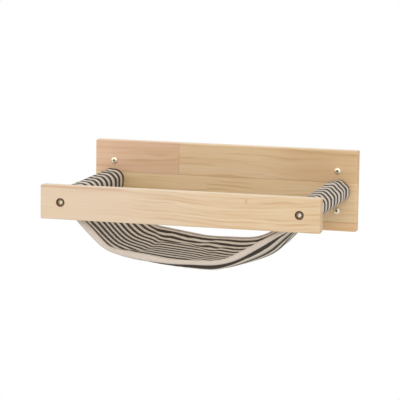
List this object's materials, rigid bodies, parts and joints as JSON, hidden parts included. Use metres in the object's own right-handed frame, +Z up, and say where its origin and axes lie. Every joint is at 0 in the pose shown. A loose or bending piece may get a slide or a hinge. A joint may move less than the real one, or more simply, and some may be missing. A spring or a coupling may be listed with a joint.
{
  "type": "wall-mounted cat perch",
  "caption": "Wall-mounted cat perch: back board, front rail and two arms, with a padded striped cloth bed slung between the arms on sleeves.",
  "frame": {"origin": "middle of the back board's wall face, level with the centre lines of the two arms", "axes": "+X to the right as seen from the room, along the boards; +Y into the wall, square to the wall face; +Z up"},
  "size_m": [0.45, 0.3317, 0.1776],
  "materials": {
    "board_wood": "clear satin lacquer on edge-glued softwood-coloured hardwood",
    "rail_wood": "clear satin lacquer",
    "arm_wood": "sanded, unlacquered",
    "zinc_steel": "zinc plated",
    "gilt_steel": "yellow zinc plated",
    "insert_brass": "turned",
    "striped_cloth": "woven ticking, dark and cream stripes",
    "lining_cloth": "woven ticking, dark and cream stripes",
    "wadding": "bonded polyester wadding",
    "binding_tape": "cream canvas tape, sewn"
  },
  "bodies": {
    "root": {"back_board": "board_wood", "front_rail": "rail_wood", "left_arm": "arm_wood", "right_arm": "arm_wood", "rail_bolt_left": "zinc_steel", "rail_bolt_right": "zinc_steel", "rail_washer_left": "zinc_steel", "rail_washer_right": "zinc_steel", "thread_insert_left": "insert_brass", "thread_insert_right": "insert_brass", "arm_screw_left_upper": "zinc_steel", "arm_screw_left_lower": "zinc_steel", "arm_screw_right_upper": "zinc_steel", "arm_screw_right_lower": "zinc_steel", "wall_screw_left_upper": "gilt_steel", "wall_screw_left_lower": "gilt_steel", "wall_screw_right_upper": "gilt_steel", "wall_screw_right_lower": "gilt_steel", "sling_cover": "striped_cloth", "sling_lining": "lining_cloth", "sling_wadding": "wadding", "binding_front": "binding_tape", "binding_rear": "binding_tape"}
  },
  "joints": []
}
